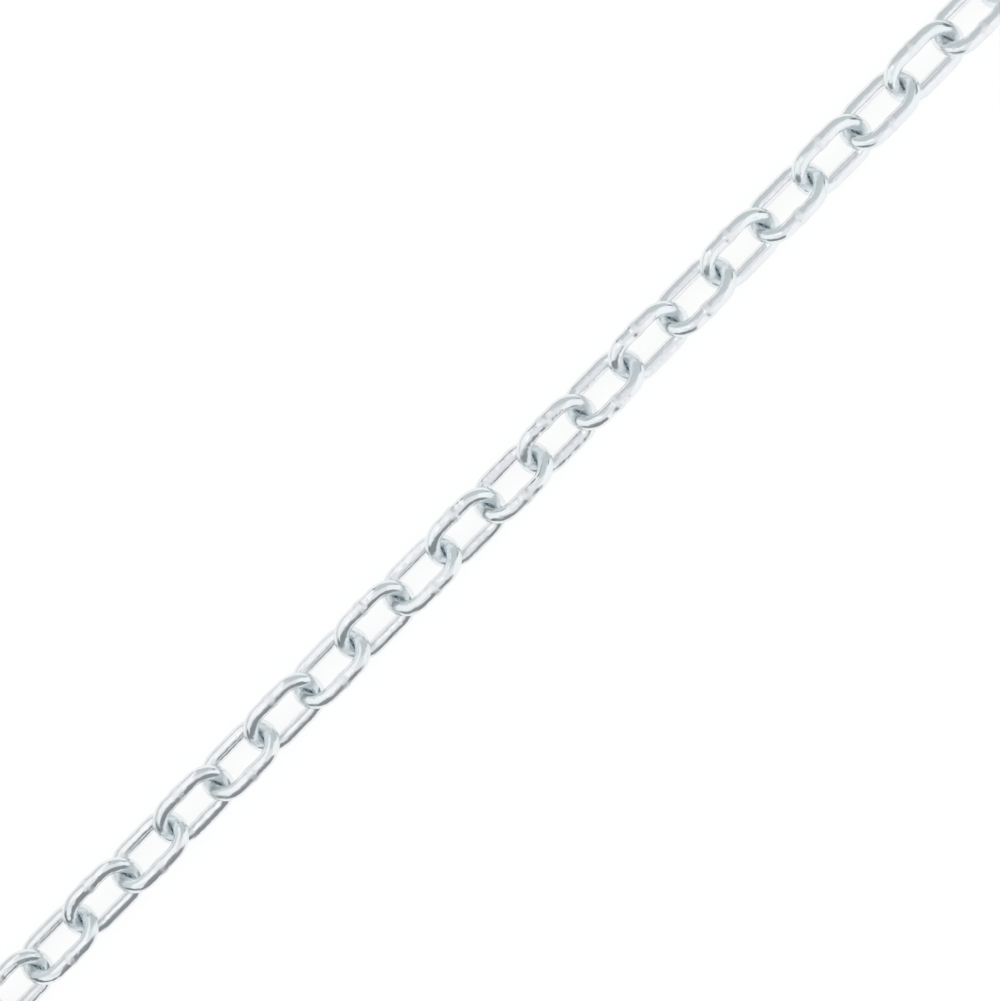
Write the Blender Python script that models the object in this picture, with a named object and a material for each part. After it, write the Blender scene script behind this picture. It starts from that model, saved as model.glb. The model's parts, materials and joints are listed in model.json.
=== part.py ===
# One metre of welded steel chain, laid out straight on a flat surface.
#
# Every link is the same closed oval of round wire, and each one hangs in the next. Two neighbours
# can't both lie flat, so the links lean to one side and the other in turn, and each rests on its
# lower long side. The chain runs along X, with its origin under its middle on the surface.
# Each link but the middle one hangs from a pivot, an empty at the tip of the link before it, and
# turning that empty about its own Y axis swings the link and all that follows it.

import math

import bpy

# Driving dimensions, in metres and radians
WIRE_DIAMETER = 0.005
INSIDE_LENGTH = 0.021
INSIDE_WIDTH = 0.010
LINK_COUNT = 48
SLACK = 0.0005
LEAN = math.radians(37.0)

# The round wire is drawn with ten flat sides that enclose the area of the true circle
WIRE_SIDES = 10
BEVEL_RESOLUTION = WIRE_SIDES // 2 - 2
SIDE_ANGLE = 2 * math.pi / WIRE_SIDES
CHORDS_PER_END = 8

# Bright zinc plating
ZINC_COLOUR = (0.72, 0.75, 0.78, 1.0)
ZINC_ROUGHNESS = 0.22
ZINC_METALLIC = 1.0

# Sizes that follow from the driving dimensions. TIP is from a link's middle to the wire's
# centre at its end, and STEP from one link's middle to the next.
WIRE_RADIUS = WIRE_DIAMETER / 2
CORNER_RADIUS = WIRE_RADIUS * math.sqrt(2 * math.pi / (WIRE_SIDES * math.sin(SIDE_ANGLE)))
FLAT_RADIUS = CORNER_RADIUS * math.cos(SIDE_ANGLE / 2)
END_RADIUS = (INSIDE_WIDTH + WIRE_DIAMETER) / 2
TIP = (INSIDE_LENGTH + WIRE_DIAMETER) / 2
STEP = INSIDE_LENGTH - SLACK
CENTRE_HEIGHT = FLAT_RADIUS + END_RADIUS * math.sin(LEAN)
MIDDLE = LINK_COUNT // 2

# A corner of the unturned section points outwards, so the section is turned about the wire until
# its second side from there faces straight down on the lower long side
SECTION_TURN = math.pi / 2 - LEAN - 1.5 * SIDE_ANGLE

COLLECTION_NAME = "steel_chain"


def clear_scene():
    for old in list(bpy.data.objects):
        bpy.data.objects.remove(old, do_unlink=True)


def make_collection():
    collection = bpy.data.collections.new(COLLECTION_NAME)
    bpy.context.scene.collection.children.link(collection)
    return collection


def zinc_material():
    material = bpy.data.materials.new("bright_zinc")
    material.use_nodes = True
    shader = material.node_tree.nodes["Principled BSDF"]
    shader.inputs["Base Color"].default_value = ZINC_COLOUR
    shader.inputs["Roughness"].default_value = ZINC_ROUGHNESS
    shader.inputs["Metallic"].default_value = ZINC_METALLIC
    return material


def lean_of(number):
    # Odd links lean up towards +Y and even links towards -Y
    return LEAN if number % 2 else -LEAN


def centre_of(number):
    return (number - (LINK_COUNT + 1) / 2) * STEP


def oval_points():
    # The wire's centre line: two half circles joined by the straight long sides
    half_side = TIP - END_RADIUS
    points = []
    for end in (1, -1):
        for step in range(CHORDS_PER_END + 1):
            angle = math.pi * (step / CHORDS_PER_END - 0.5)
            x = end * (half_side + END_RADIUS * math.cos(angle))
            y = end * END_RADIUS * math.sin(angle)
            points.append((x, y))
    return points


def link_curve(material):
    curve = bpy.data.curves.new("link_wire", "CURVE")
    curve.dimensions = "3D"
    curve.twist_mode = "Z_UP"
    curve.bevel_depth = CORNER_RADIUS
    curve.bevel_resolution = BEVEL_RESOLUTION
    curve.materials.append(material)
    points = oval_points()
    spline = curve.splines.new("POLY")
    spline.points.add(len(points) - 1)
    spline.use_cyclic_u = True
    for point, (x, y) in zip(spline.points, points):
        point.co = (x, y, 0.0, 1.0)
        point.tilt = SECTION_TURN
    return curve


def make_pivot(collection, number, side, parent):
    # side is +1 for links after the middle one and -1 for links before it
    before = number - side
    pivot = bpy.data.objects.new(f"pivot_{number:02d}", None)
    pivot.empty_display_type = "ARROWS"
    pivot.empty_display_size = WIRE_DIAMETER
    pivot.rotation_mode = "YXZ"
    if parent is None:
        pivot.location = (centre_of(before) + side * TIP, 0, CENTRE_HEIGHT)
        pivot.rotation_euler.x = lean_of(before)
    else:
        pivot.parent = parent
        pivot.location.x = side * STEP
        pivot.rotation_euler.x = lean_of(before) - lean_of(number - 2 * side)
    collection.objects.link(pivot)
    return pivot


def make_link(collection, number, curve, side=0, pivot=None):
    link = bpy.data.objects.new(f"link_{number:02d}", curve)
    if pivot is None:
        link.location = (centre_of(number), 0, CENTRE_HEIGHT)
        link.rotation_euler.x = lean_of(number)
    else:
        link.parent = pivot
        link.location.x = side * (STEP - TIP)
        link.rotation_euler.x = lean_of(number) - lean_of(number - side)
    collection.objects.link(link)


def main():
    clear_scene()
    collection = make_collection()
    zinc = zinc_material()
    curve = link_curve(zinc)
    make_link(collection, MIDDLE, curve)
    for side, last in ((1, LINK_COUNT), (-1, 1)):
        pivot = None
        for number in range(MIDDLE + side, last + side, side):
            pivot = make_pivot(collection, number, side, pivot)
            make_link(collection, number, curve, side, pivot)


main()
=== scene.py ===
# One metre of bright zinc-plated chain, laid out straight on a white table.
# The frame gives every link's place; here each link gets its round wire, its weld and its finish.

import json
import math
import random

import bpy
from mathutils import Matrix, Vector

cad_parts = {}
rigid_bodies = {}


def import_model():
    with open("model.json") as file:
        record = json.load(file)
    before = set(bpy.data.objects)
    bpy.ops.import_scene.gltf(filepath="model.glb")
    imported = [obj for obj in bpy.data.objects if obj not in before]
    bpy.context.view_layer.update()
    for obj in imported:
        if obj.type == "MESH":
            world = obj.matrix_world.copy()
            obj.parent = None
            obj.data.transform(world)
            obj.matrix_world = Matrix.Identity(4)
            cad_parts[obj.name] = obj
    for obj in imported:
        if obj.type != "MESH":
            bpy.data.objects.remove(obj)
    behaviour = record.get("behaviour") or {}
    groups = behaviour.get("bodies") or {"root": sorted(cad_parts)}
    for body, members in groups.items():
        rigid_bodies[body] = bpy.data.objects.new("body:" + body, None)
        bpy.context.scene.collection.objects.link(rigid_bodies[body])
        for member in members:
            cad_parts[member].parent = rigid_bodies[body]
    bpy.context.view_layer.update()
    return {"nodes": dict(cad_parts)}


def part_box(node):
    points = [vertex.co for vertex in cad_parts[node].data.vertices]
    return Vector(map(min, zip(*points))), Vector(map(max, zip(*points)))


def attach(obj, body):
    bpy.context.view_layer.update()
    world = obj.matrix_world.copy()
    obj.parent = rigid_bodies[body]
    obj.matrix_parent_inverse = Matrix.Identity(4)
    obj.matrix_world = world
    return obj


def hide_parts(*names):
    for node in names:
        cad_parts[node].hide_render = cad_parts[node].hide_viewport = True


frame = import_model()
mm = 0.001
print("frame loaded:", len(frame["nodes"]), "links")


# Small helpers

def clearSelection():
    for thing in bpy.context.view_layer.objects.selected:
        thing.select_set(False)


def linkNumber(name):
    return int(name.split("_")[1])


def placeOf(name):
    low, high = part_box(name)
    return (low + high) / 2


# Camera: above the chain, which runs from the lower left to the upper right

photoView = {
    "wide": 1000,               # pixels
    "high": 1001,
    "pitch": 65.11,             # pixels from one joint to the next, in the middle of the run
    "slope": 45.48,             # degrees from the photo's lower edge to the chain
    "joint": (535.1, 458.6),    # pixel of the joint in the middle of the run
    "tilt": 2.9,                # degrees off the vertical, towards the upper right end
    "lens": 200.0,              # mm, long enough that the links keep nearly one size
    "sensor": 36.0,             # mm
    "near": 0.05,               # metres that the camera sees from and to
    "far": 200.0,
}


def makeCamera():
    view = photoView
    stepLength = (placeOf("link_25") - placeOf("link_24")).x
    pixel = stepLength / view["pitch"]
    roll = math.radians(-view["slope"])
    right = Vector((math.cos(roll), math.sin(roll), 0))
    up = Vector((-math.sin(roll), math.cos(roll), 0))
    jointX, jointY = view["joint"]
    aside = (jointX - view["wide"] / 2) * pixel
    above = (view["high"] / 2 - jointY) * pixel
    frameSide = max(view["wide"], view["high"]) * pixel
    distance = frameSide * view["lens"] / view["sensor"]
    data = bpy.data.cameras.new("photoCamera")
    data.lens = view["lens"]
    data.sensor_width = view["sensor"]
    data.clip_start = view["near"]
    data.clip_end = view["far"]
    camera = bpy.data.objects.new("photoCamera", data)
    bpy.context.scene.collection.objects.link(camera)
    middleHeight = placeOf("link_24").z
    aim = Vector((0, 0, middleHeight)) - right * aside - up * above
    tilt = Matrix.Rotation(math.radians(view["tilt"]), 4, "Y")
    turn = Matrix.Rotation(roll, 4, "Z")
    stand = Matrix.Translation(aim) @ tilt @ Matrix.Translation((0, 0, distance))
    camera.matrix_world = stand @ turn
    bpy.context.scene.camera = camera
    print("camera:", round(distance, 3), "m from the chain")
    return {"middle": Vector((aim.x, aim.y, 0)), "right": right, "up": up, "halfFrame": frameSide / 2}


shot = makeCamera()   # the middle of the photo on the table, its directions and half its side


# Studio: a lit white table in a pale room. Soft boxes stand left and right of the photo's frame and
# darker flags at its top and bottom, with a dark wall round them, a ceiling, and one more box high up.
# Only the metal sees these, so they shade nothing and stand in no view. Heights are in metres.

studio = {
    "tableSide": 80.0,          # metres
    "tableHeight": -0.06 * mm,  # just under the lowest dent
    "tableGlow": 0.84,
    "tableWhite": 0.18,
    "room": (0.97, 0.99, 1.0),
    "gapBounces": 8,            # light reaches into the narrow gap between two links
    "boxLeft": {"from": (-1.2, 1.1), "to": (-1.2, -1.0), "low": 0.06, "high": 0.38,
                "shade": (1.02, 1.03, 1.04)},
    "skirtLeft": {"from": (-1.2, 1.1), "to": (-1.2, -1.0), "low": 0.0, "high": 0.06,
                  "shade": (0.70, 0.72, 0.73)},
    "boxRight": {"from": (1.2, 1.0), "to": (1.2, -0.95), "low": 0.0, "high": 0.30,
                 "shade": (1.03, 1.04, 1.05)},
    "flagTop": {"from": (-1.05, 1.2), "to": (1.05, 1.2), "low": 0.0, "high": 0.45,
                "shade": (0.60, 0.64, 0.65)},
    "flagBottom": {"from": (-0.75, -1.2), "to": (1.35, -0.95), "low": 0.0, "high": 0.22,
                   "shade": (0.27, 0.29, 0.30)},
    "wall": {"radius": 3.0, "sides": 96, "low": 0.10, "high": 1.40,   # metres
             "shade": (0.20, 0.21, 0.22)},
    "ceiling": {"side": 5.0, "height": 3.0, "shade": (0.86, 0.87, 0.88)},   # metres
    "boxAbove": {"along": -1.35, "across": 1.30, "long": 1.35, "wide": 2.8, "height": 0.8,
                 "shade": (1.22, 1.23, 1.24)},
}


def glowMaterial(name, shade):
    material = bpy.data.materials.new(name)
    material.use_nodes = True
    nodes = material.node_tree.nodes
    nodes.clear()
    glow = nodes.new("ShaderNodeEmission")
    glow.inputs["Color"].default_value = (*shade, 1)
    out = nodes.new("ShaderNodeOutputMaterial")
    material.node_tree.links.new(glow.outputs["Emission"], out.inputs["Surface"])
    return material


def seenByMetalOnly(thing, name, shade):
    thing.name = name
    thing.data.materials.append(glowMaterial(name + "Glow", shade))
    thing.visible_camera = False
    thing.visible_diffuse = False
    thing.visible_shadow = False
    thing.visible_transmission = False
    thing.visible_volume_scatter = False


def makeTable():
    clearSelection()
    place = (0, 0, studio["tableHeight"])
    bpy.ops.mesh.primitive_plane_add(size=studio["tableSide"], location=place)
    table = bpy.context.object
    table.name = "table"
    material = bpy.data.materials.new("litTable")
    material.use_nodes = True
    shader = material.node_tree.nodes["Principled BSDF"]
    shader.inputs["Base Color"].default_value = (*[studio["tableWhite"]] * 3, 1)
    shader.inputs["Roughness"].default_value = 1.0
    shader.inputs["Specular IOR Level"].default_value = 0.0
    shader.inputs["Emission Color"].default_value = (1, 1, 1, 1)
    shader.inputs["Emission Strength"].default_value = studio["tableGlow"]
    table.data.materials.append(material)


def standingPanel(name):   # stands between two places given in half frames from the photo's middle
    panel = studio[name]
    start, end = [shot["middle"] + (shot["right"] * x + shot["up"] * y) * shot["halfFrame"]
                  for x, y in (panel["from"], panel["to"])]
    span = end - start
    tall = panel["high"] - panel["low"]
    centre = (start + end) / 2 + Vector((0, 0, panel["low"] + tall / 2))
    clearSelection()
    turn = (math.pi / 2, 0, math.atan2(span.y, span.x))
    bpy.ops.mesh.primitive_plane_add(size=1, location=centre, rotation=turn)
    thing = bpy.context.object
    thing.scale = (span.length, tall, 1)
    seenByMetalOnly(thing, name, panel["shade"])


def makeWall():
    wall = studio["wall"]
    tall = wall["high"] - wall["low"]
    clearSelection()
    bpy.ops.mesh.primitive_cylinder_add(vertices=wall["sides"], radius=wall["radius"], depth=tall,
                                        end_fill_type="NOTHING", location=(0, 0, wall["low"] + tall / 2))
    seenByMetalOnly(bpy.context.object, "wall", wall["shade"])


def makeCeiling():
    ceiling = studio["ceiling"]
    clearSelection()
    bpy.ops.mesh.primitive_plane_add(size=ceiling["side"], location=(0, 0, ceiling["height"]))
    seenByMetalOnly(bpy.context.object, "ceiling", ceiling["shade"])


def makeBoxAbove():   # high on the photo's left, placed in half frames along and across the chain
    box = studio["boxAbove"]
    place = shot["middle"] + Vector((box["along"], box["across"], 0)) * shot["halfFrame"]
    clearSelection()
    bpy.ops.mesh.primitive_plane_add(size=1, location=place + Vector((0, 0, box["height"])))
    card = bpy.context.object
    card.scale = (box["long"] * shot["halfFrame"], box["wide"] * shot["halfFrame"], 1)
    seenByMetalOnly(card, "boxAbove", box["shade"])


def makeRoom():
    world = bpy.data.worlds.new("paleRoom")
    bpy.context.scene.world = world
    world.use_nodes = True
    background = world.node_tree.nodes["Background"]
    background.inputs["Color"].default_value = (*studio["room"], 1)
    background.inputs["Strength"].default_value = 1.0
    bpy.context.scene.view_settings.view_transform = "Standard"
    bpy.context.scene.cycles.glossy_bounces = studio["gapBounces"]


makeTable()
for name in ("boxLeft", "skirtLeft", "boxRight", "flagTop", "flagBottom"):
    standingPanel(name)
makeWall()
makeCeiling()
makeBoxAbove()
makeRoom()
print("studio ready")


# One link, modelled flat about its own middle, with the weld in the middle of its -Y side

link = {
    "wire": 4.9 * mm,            # 2% under the frame's, because the frame's play shortens the pitch
    "insideLength": 20.57 * mm,  # the frame's links keep 0.5 mm of play, and these nearly touch
    "insideWidth": 9.85 * mm,    # 1.5% under the frame's
    "around": 32,                # points round the wire
    "bendSteps": 28,
    "weldRings": 12,             # on each side of the weld
    "plainRings": 14,
    "mergeWithin": 0.01 * mm,
    "upsetReach": 1.5 * mm,      # how far the weld's swelling goes along the wire
    "upsetEdge": 4,              # and how steeply it ends
    "contactReach": 3.5 * mm,    # the wire stays true this near to where the next link bears
}
halfSide = (link["insideLength"] - link["insideWidth"]) / 2
bend = (link["insideWidth"] + link["wire"]) / 2
loopLength = 4 * halfSide + 2 * math.pi * bend


def sweepAlong(distance, steps):
    for k in range(steps):
        bpy.ops.mesh.extrude_region_move(TRANSFORM_OT_translate={"value": (distance / steps, 0, 0)})


def sweepRound(side):
    centre = (side * halfSide, 0, 0)
    bpy.ops.mesh.spin(steps=link["bendSteps"], angle=math.pi, center=centre, axis=(0, 0, -1))


def buildLink():
    clearSelection()
    bpy.ops.mesh.primitive_circle_add(vertices=link["around"], radius=link["wire"] / 2,
                                      fill_type="NOTHING", location=(0, -bend, 0),
                                      rotation=(0, math.pi / 2, 0))
    piece = bpy.context.object
    piece.name = "linkPattern"
    bpy.ops.object.transform_apply(location=True, rotation=True, scale=True)
    bpy.ops.object.mode_set(mode="EDIT")
    bpy.ops.mesh.select_all(action="SELECT")
    sweepAlong(halfSide, link["weldRings"])
    sweepRound(1)
    sweepAlong(-2 * halfSide, link["plainRings"])
    sweepRound(-1)
    sweepAlong(halfSide, link["weldRings"])
    bpy.ops.mesh.select_all(action="SELECT")
    bpy.ops.mesh.remove_doubles(threshold=link["mergeWithin"])
    bpy.ops.mesh.normals_make_consistent(inside=False)
    bpy.ops.object.mode_set(mode="OBJECT")
    bpy.ops.object.shade_smooth()
    markPlaces(piece)
    layWireMap(piece.data)
    return piece


def markPlaces(piece):   # vertex groups: the weld, and all that is clear of the two bearing places
    weld = piece.vertex_groups.new(name="weld")
    clear = piece.vertex_groups.new(name="clear")
    inner = halfSide + link["insideWidth"] / 2
    for vertex in piece.data.vertices:
        x, y, z = vertex.co
        if y < 0 and abs(x) < halfSide:
            swell = math.exp(-(x / link["upsetReach"]) ** link["upsetEdge"])
            weld.add([vertex.index], swell, "REPLACE")
        away = math.dist((abs(x), y, z), (inner, 0, 0)) / link["contactReach"]
        clear.add([vertex.index], 1 - math.exp(-away ** 2), "REPLACE")


def alongWire(place):   # distance from the weld, once round the link, and angle round the wire
    x, y, z = place
    if x > halfSide:
        turn = math.atan2(y, x - halfSide)
        along = halfSide + bend * (turn + math.pi / 2)
        out = math.hypot(x - halfSide, y) - bend
    elif x < -halfSide:
        turn = math.atan2(-y, -halfSide - x)
        along = 3 * halfSide + bend * (1.5 * math.pi + turn)
        out = math.hypot(x + halfSide, y) - bend
    else:
        along = 2 * halfSide + math.pi * bend - x if y > 0 else x % loopLength
        out = abs(y) - bend
    return along, math.atan2(z, out)


def nearest(value, guide, period):
    return value + period * round((guide - value) / period)


def layWireMap(mesh):   # U runs once round the link from the weld, V once round the wire
    layer = mesh.uv_layers.new(name="wire")
    for face in mesh.polygons:
        faceAlong, faceAngle = alongWire(face.center)
        for corner in face.loop_indices:
            along, angle = alongWire(mesh.vertices[mesh.loops[corner].vertex_index].co)
            along = nearest(along, faceAlong, loopLength)
            angle = nearest(angle, faceAngle, 2 * math.pi)
            layer.data[corner].uv = (along / loopLength, angle / (2 * math.pi))


pattern = buildLink()
print("link modelled:", len(pattern.data.polygons), "faces")


# Finish: bright zinc over drawn wire. Each effect is a node group that reads the wire's own map.

finish = {
    "blueZinc": (0.842, 0.884, 0.898),    # in the bends
    "greyZinc": (0.868, 0.876, 0.892),    # on the long sides
    "dullZinc": (0.720, 0.740, 0.752),    # where the plating is thin, and as painted shade where the links meet
    "weldGrey": (0.870, 0.872, 0.880),
    "weldCover": 0.75,          # share of the zinc's colour that the weld's grey hides
    "dullStart": -0.10,         # the plating turns dull as these add up past 0
    "dullClouds": 0.16,
    "dullGrain": 0.22,
    "dullLines": 0.26,
    "dullNicks": 0.35,
    # painted shade: darkens the colour in the gap where the next link bears
    "rubAndGapShade": 0.12,
    "dullMargin": 0.20,
    "roughness": 0.09,          # of the plain plating, to which these add
    "lineRoughness": 0.10,
    "cloudRoughness": 0.12,
    "rubRoughness": 0.08,
    "nickRoughness": 0.10,
    "marginRoughness": 0.06,
    "weldRoughness": 0.20,
    "lineHeight": 0.020 * mm,
    "hammerHeight": 0.150 * mm,
    "grainHeight": 0.008 * mm,
    "nickHeight": 0.040 * mm,
    "crustHeight": 0.060 * mm,
    "lineNoise": (1.0, 2.0),    # in each noise, cells to the millimetre and then detail
    "broadStretch": (0.05, 1.3, 1.3),   # in each stretch, along the wire and then across it
    "fineStretch": (0.12, 4.5, 4.5),
    "fineShare": 0.5,           # the broad lines have the rest
    "cloudNoise": (0.16, 3.0),
    "cloudEdges": (0.35, 0.65),   # at each pair of edges, where it starts and where it is full
    "hammerNoise": (0.6, 1.0),
    "hammerStretch": (0.7, 1.0, 1.0),
    "grainNoise": (2.6, 3.0),
    "nickCells": 0.34,          # to the millimetre
    "nickStretch": (0.6, 1.0, 1.0),
    "nickWobble": 1.7,
    "nickEdges": (0.20, 0.10),
    "nickless": 0.62,           # share of the cells that have no nick
    "wanderNoise": (0.9, 2.0),
    "wander": 1.6,              # mm that the weld's edge wanders in all
    "weldEdges": (1.25, 0.55),  # mm from the weld
    "marginEdges": (3.6, 1.0),
    "crustNoise": (1.5, 4.0),
    # where the rub mask falls: rougher worn zinc, and painted shade in the colour
    "rubAndShadeEdges": (3.4, 0.6),     # mm from the link's tip
    "innerEdges": (0.62, 0.95),   # 1 is the link's inner side
    "bendEdges": (14.0, 5.0),   # mm from the link's tip
}
tipLap = 0.25   # the link's tips lie a quarter of the way round from the weld


def newGroup(name, takes, gives):
    group = bpy.data.node_groups.new(name, "ShaderNodeTree")
    for socketName, kind in takes:
        group.interface.new_socket(socketName, in_out="INPUT", socket_type="NodeSocket" + kind)
    for socketName, kind in gives:
        group.interface.new_socket(socketName, in_out="OUTPUT", socket_type="NodeSocket" + kind)
    taken = group.nodes.new("NodeGroupInput").outputs
    given = group.nodes.new("NodeGroupOutput").inputs
    return group, taken, given


def feed(tree, value, socket):
    if isinstance(value, bpy.types.NodeSocket):
        tree.links.new(value, socket)
    else:
        socket.default_value = value


def calc(tree, operation, *values):
    node = tree.nodes.new("ShaderNodeMath")
    node.operation = operation
    for value, socket in zip(values, node.inputs):
        feed(tree, value, socket)
    return node.outputs["Value"]


def stretch(tree, vector, factors):
    node = tree.nodes.new("ShaderNodeVectorMath")
    node.operation = "MULTIPLY"
    feed(tree, vector, node.inputs[0])
    node.inputs[1].default_value = factors
    return node.outputs["Vector"]


def noise(tree, vector, scale, detail):
    node = tree.nodes.new("ShaderNodeTexNoise")
    feed(tree, vector, node.inputs["Vector"])
    node.inputs["Scale"].default_value = scale
    node.inputs["Detail"].default_value = detail
    return node.outputs["Fac"]


def ramp(tree, value, low, high):   # smoothly 0 below low and 1 above high
    node = tree.nodes.new("ShaderNodeMapRange")
    node.interpolation_type = "SMOOTHSTEP"
    feed(tree, value, node.inputs["Value"])
    node.inputs["From Min"].default_value = low
    node.inputs["From Max"].default_value = high
    return node.outputs["Result"]


def mixColours(tree, share, first, second):
    node = tree.nodes.new("ShaderNodeMix")
    node.data_type = "RGBA"
    feed(tree, share, node.inputs["Factor"])
    feed(tree, (*first, 1) if isinstance(first, tuple) else first, node.inputs["A"])
    feed(tree, (*second, 1) if isinstance(second, tuple) else second, node.inputs["B"])
    return node.outputs["Result"]


def makeWirePlace():   # millimetres along the wire, and a circle round it so that no seam shows
    gives = [("Place", "Vector"), ("From Weld", "Float"), ("From Tip", "Float"), ("Inner Side", "Float")]
    tree, taken, given = newGroup("wirePlace", [("Map", "Vector")], gives)
    apart = tree.nodes.new("ShaderNodeSeparateXYZ")
    tree.links.new(taken["Map"], apart.inputs["Vector"])
    turn = calc(tree, "MULTIPLY", apart.outputs["Y"], 2 * math.pi)
    across = calc(tree, "COSINE", turn)
    join = tree.nodes.new("ShaderNodeCombineXYZ")
    wireRadius = link["wire"] / 2 / mm
    feed(tree, calc(tree, "MULTIPLY", apart.outputs["X"], loopLength / mm), join.inputs["X"])
    feed(tree, calc(tree, "MULTIPLY", across, wireRadius), join.inputs["Y"])
    feed(tree, calc(tree, "MULTIPLY", calc(tree, "SINE", turn), wireRadius), join.inputs["Z"])
    tree.links.new(join.outputs["Vector"], given["Place"])
    lap = calc(tree, "SUBTRACT", apart.outputs["X"], calc(tree, "ROUND", apart.outputs["X"]))
    part = calc(tree, "ABSOLUTE", lap)
    feed(tree, calc(tree, "MULTIPLY", part, loopLength / mm), given["From Weld"])
    toTip = calc(tree, "ABSOLUTE", calc(tree, "SUBTRACT", part, tipLap))
    feed(tree, calc(tree, "MULTIPLY", toTip, loopLength / mm), given["From Tip"])
    feed(tree, calc(tree, "MULTIPLY_ADD", across, -0.5, 0.5), given["Inner Side"])
    return tree


def makeDrawnLines():   # fine marks that the drawing die left along the wire
    tree, taken, given = newGroup("drawnLines", [("Place", "Vector")], [("Lines", "Float")])
    broad = noise(tree, stretch(tree, taken["Place"], finish["broadStretch"]), *finish["lineNoise"])
    fine = noise(tree, stretch(tree, taken["Place"], finish["fineStretch"]), *finish["lineNoise"])
    broad = calc(tree, "MULTIPLY", broad, 1 - finish["fineShare"])
    feed(tree, calc(tree, "MULTIPLY_ADD", fine, finish["fineShare"], broad), given["Lines"])
    return tree


def makePlating():   # clouds, the flats from handling in bulk, and fine grain
    tree, taken, given = newGroup("plating", [("Place", "Vector")],
                                  [("Clouds", "Float"), ("Hammer", "Float"), ("Grain", "Float")])
    clouds = noise(tree, taken["Place"], *finish["cloudNoise"])
    feed(tree, ramp(tree, clouds, *finish["cloudEdges"]), given["Clouds"])
    hammered = stretch(tree, taken["Place"], finish["hammerStretch"])
    feed(tree, noise(tree, hammered, *finish["hammerNoise"]), given["Hammer"])
    feed(tree, noise(tree, taken["Place"], *finish["grainNoise"]), given["Grain"])
    return tree


def makeNicks():   # sparse small nicks and rubbed spots
    tree, taken, given = newGroup("nicks", [("Place", "Vector")], [("Nicks", "Float")])
    spots = tree.nodes.new("ShaderNodeTexVoronoi")
    spots.inputs["Scale"].default_value = finish["nickCells"]
    wobble = tree.nodes.new("ShaderNodeVectorMath")
    wobble.operation = "ADD"
    cloud = tree.nodes.new("ShaderNodeTexNoise")
    cloud.inputs["Scale"].default_value = finish["nickWobble"]
    tree.links.new(taken["Place"], cloud.inputs["Vector"])
    tree.links.new(stretch(tree, taken["Place"], finish["nickStretch"]), wobble.inputs[0])
    tree.links.new(cloud.outputs["Color"], wobble.inputs[1])
    tree.links.new(wobble.outputs["Vector"], spots.inputs["Vector"])
    near = ramp(tree, spots.outputs["Distance"], *finish["nickEdges"])
    pick = tree.nodes.new("ShaderNodeSeparateColor")
    tree.links.new(spots.outputs["Color"], pick.inputs["Color"])
    chosen = calc(tree, "GREATER_THAN", pick.outputs["Red"], finish["nickless"])
    feed(tree, calc(tree, "MULTIPLY", near, chosen), given["Nicks"])
    return tree


def makeWeldPatch():   # the butt weld: a rough ring with a heat-dulled margin
    tree, taken, given = newGroup("weldPatch", [("Place", "Vector"), ("From Weld", "Float")],
                                  [("Weld", "Float"), ("Margin", "Float"), ("Crust", "Float")])
    uneven = noise(tree, taken["Place"], *finish["wanderNoise"])
    wander = calc(tree, "MULTIPLY_ADD", uneven, finish["wander"], -finish["wander"] / 2)
    reach = calc(tree, "ADD", taken["From Weld"], wander)
    feed(tree, ramp(tree, reach, *finish["weldEdges"]), given["Weld"])
    feed(tree, ramp(tree, reach, *finish["marginEdges"]), given["Margin"])
    feed(tree, noise(tree, taken["Place"], *finish["crustNoise"]), given["Crust"])
    return tree


def makeContact():   # where the next link bears and rubs, on the inner side of a bend; the same mask darkens the colour there as painted shade in the gap between the links
    tree, taken, given = newGroup("contact", [("From Tip", "Float"), ("Inner Side", "Float")],
                                  [("Rub And Shade", "Float"), ("Bend", "Float")])
    near = ramp(tree, taken["From Tip"], *finish["rubAndShadeEdges"])
    inner = ramp(tree, taken["Inner Side"], *finish["innerEdges"])
    feed(tree, calc(tree, "MULTIPLY", near, inner), given["Rub And Shade"])
    feed(tree, ramp(tree, taken["From Tip"], *finish["bendEdges"]), given["Bend"])
    return tree


def useGroup(tree, group, takes):
    node = tree.nodes.new("ShaderNodeGroup")
    node.node_tree = group
    for socketName, source in takes.items():
        tree.links.new(source, node.inputs[socketName])
    return node.outputs


def addUp(tree, start, terms):
    total = start
    for source, amount in terms:
        total = calc(tree, "MULTIPLY_ADD", source, amount, total)
    return total


def zincEffects(tree):   # each effect's mask or height, under its own name
    wireMap = tree.nodes.new("ShaderNodeUVMap")
    wireMap.uv_map = "wire"
    wire = useGroup(tree, makeWirePlace(), {"Map": wireMap.outputs["UV"]})
    place = {"Place": wire["Place"]}
    fromWeld = {"From Weld": wire["From Weld"]}
    fromTip = {"From Tip": wire["From Tip"], "Inner Side": wire["Inner Side"]}
    groups = [
        useGroup(tree, makeDrawnLines(), place),
        useGroup(tree, makePlating(), place),
        useGroup(tree, makeNicks(), place),
        useGroup(tree, makeWeldPatch(), {**place, **fromWeld}),
        useGroup(tree, makeContact(), fromTip)]
    return {socket.name: socket for outputs in groups for socket in outputs}


def zincColour(tree, effect):
    colour = mixColours(tree, effect["Bend"], finish["greyZinc"], finish["blueZinc"])
    # the rub mask's share darkens the colour as painted shade where the links meet, on top of the real
    # wear
    dull = addUp(tree, finish["dullStart"], [
        (effect["Clouds"], finish["dullClouds"]),
        (effect["Grain"], finish["dullGrain"]),
        (effect["Lines"], finish["dullLines"]),
        (effect["Nicks"], finish["dullNicks"]),
        (effect["Rub And Shade"], finish["rubAndGapShade"]),
        (effect["Margin"], finish["dullMargin"])])
    colour = mixColours(tree, ramp(tree, dull, 0.0, 1.0), colour, finish["dullZinc"])
    cover = calc(tree, "MULTIPLY", effect["Weld"], finish["weldCover"])
    return mixColours(tree, cover, colour, finish["weldGrey"])


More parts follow.
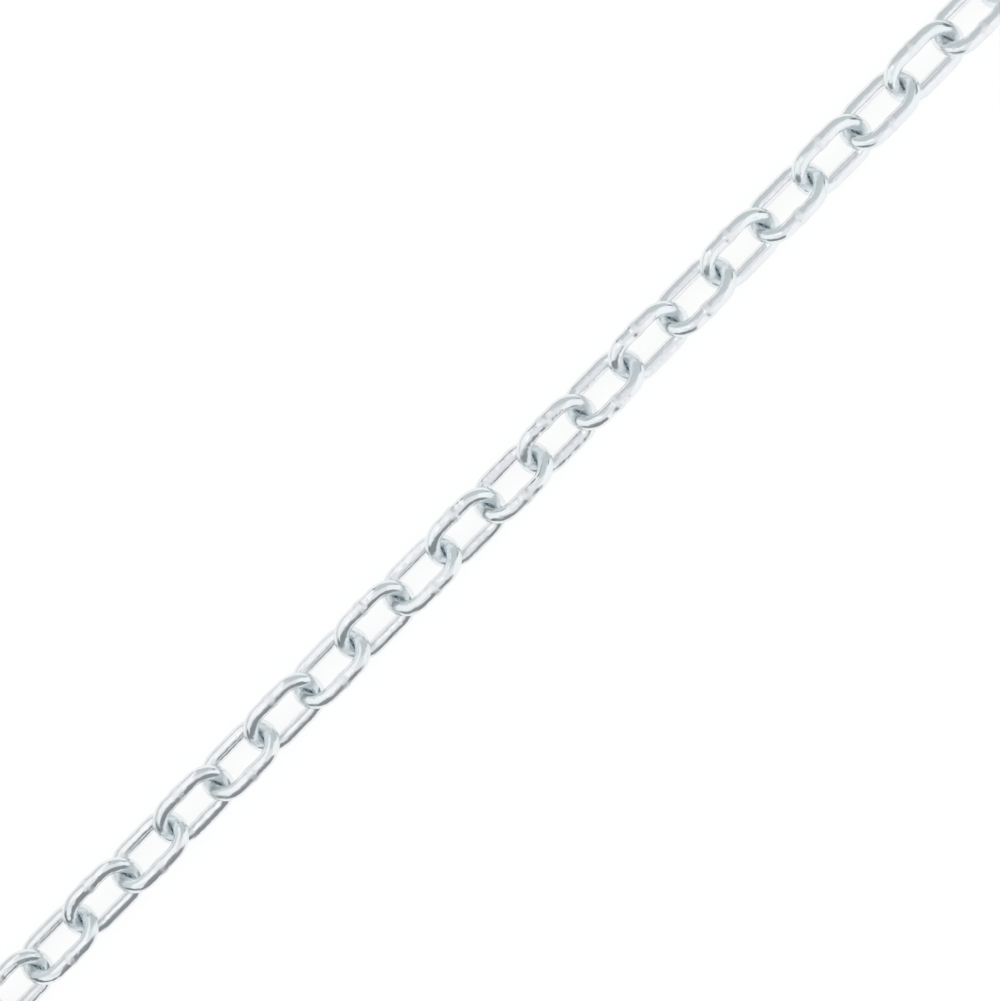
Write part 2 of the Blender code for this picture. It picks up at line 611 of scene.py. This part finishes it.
def zincRoughness(tree, effect):
    return addUp(tree, finish["roughness"], [
        (effect["Lines"], finish["lineRoughness"]),
        (effect["Clouds"], finish["cloudRoughness"]),
        (effect["Rub And Shade"], finish["rubRoughness"]),
        (effect["Nicks"], finish["nickRoughness"]),
        (effect["Margin"], finish["marginRoughness"]),
        (effect["Weld"], finish["weldRoughness"])])


def zincNormal(tree, effect):
    height = addUp(tree, 0.0, [
        (effect["Lines"], finish["lineHeight"]),
        (effect["Hammer"], finish["hammerHeight"]),
        (effect["Grain"], finish["grainHeight"]),
        (effect["Nicks"], -finish["nickHeight"])])
    crust = calc(tree, "MULTIPLY", effect["Crust"], effect["Weld"])
    height = calc(tree, "MULTIPLY_ADD", crust, finish["crustHeight"], height)
    bump = tree.nodes.new("ShaderNodeBump")
    bump.inputs["Strength"].default_value = 1.0
    bump.inputs["Distance"].default_value = 1.0
    feed(tree, height, bump.inputs["Height"])
    return bump.outputs["Normal"]


def brightZinc():
    material = bpy.data.materials.new("brightZinc")
    material.use_nodes = True
    tree = material.node_tree
    shader = tree.nodes["Principled BSDF"]
    shader.inputs["Metallic"].default_value = 1
    effect = zincEffects(tree)
    feed(tree, zincColour(tree, effect), shader.inputs["Base Color"])
    feed(tree, zincRoughness(tree, effect), shader.inputs["Roughness"])
    feed(tree, zincNormal(tree, effect), shader.inputs["Normal"])
    return material


zinc = brightZinc()
print("finish ready")


# The run: 48 links, each a copy of its own with its own small dents, weld and way of lying

run = {
    "lean": 37.4,               # degrees, to one side and the other in turn
    "leanSpread": 0.4,
    "yawSpread": 0.35,
    "sway": 0.2 * mm,           # every link lies a little towards the side it leans up to
    "upset": (0.10 * mm, 0.21 * mm),   # the least and the most that a weld swells
    "dent": 0.11 * mm,          # from the hollows to the high places
    "dentSize": 2.6 * mm,
    "dentDetail": 1,
    "crust": 0.16 * mm,         # the weld's rough skin, from its hollows to its high places
    "crustSize": 0.9 * mm,
    "crustDetail": 2,
    "seed": 11,
}


def shiftWireMap(mesh, laps):   # so that no two links wear the same marks
    for corner in mesh.uv_layers["wire"].data:
        corner.uv.x += laps


def applyDisplace(piece, strength, group, texture):   # a texture moves the wire both ways
    bpy.context.view_layer.objects.active = piece
    swell = piece.modifiers.new("relief", "DISPLACE")
    swell.strength = strength
    swell.mid_level = 0.5 if texture else 0.0
    swell.vertex_group = group
    if texture:
        swell.texture = texture
        swell.texture_coords = "LOCAL"
    bpy.ops.object.modifier_apply(modifier="relief")


def reliefTexture(name, size, depth):
    texture = bpy.data.textures.new(name, "CLOUDS")
    texture.noise_scale = size
    texture.noise_depth = depth
    return texture


def lieOfLink(name, chance):   # leaning on its lower long side, with the weld on the upper one
    side = 1 if linkNumber(name) % 2 else -1
    lean = side * math.radians(run["lean"] + chance.uniform(-1, 1) * run["leanSpread"])
    yaw = math.radians(chance.uniform(-1, 1) * run["yawSpread"])
    turn = Matrix.Rotation(yaw, 4, "Z") @ Matrix.Rotation(lean, 4, "X")
    if side > 0:
        turn = turn @ Matrix.Rotation(math.pi, 4, "Z")   # brings the weld up
    height = link["wire"] / 2 + bend * math.sin(abs(lean))
    return Matrix.Translation((placeOf(name).x, side * run["sway"], height)) @ turn


def placeLink(name, dents, crust, chance):
    number = linkNumber(name)
    piece = pattern.copy()
    piece.data = pattern.data.copy()
    piece.name = piece.data.name = "zincLink_%02d" % number
    bpy.context.scene.collection.objects.link(piece)
    piece.data.transform(lieOfLink(name, chance))
    applyDisplace(piece, chance.uniform(*run["upset"]), "weld", None)
    applyDisplace(piece, run["crust"], "weld", crust)
    applyDisplace(piece, run["dent"], "clear", dents)
    piece.vertex_groups.clear()
    shiftWireMap(piece.data, number)
    piece.data.materials.append(zinc)
    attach(piece, name)
    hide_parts(name)


def layRun():
    chance = random.Random(run["seed"])
    dents = reliefTexture("dents", run["dentSize"], run["dentDetail"])
    crust = reliefTexture("crust", run["crustSize"], run["crustDetail"])
    clearSelection()
    for name in sorted(frame["nodes"]):
        placeLink(name, dents, crust, chance)
    bpy.data.objects.remove(pattern, do_unlink=True)


layRun()
print("links placed")
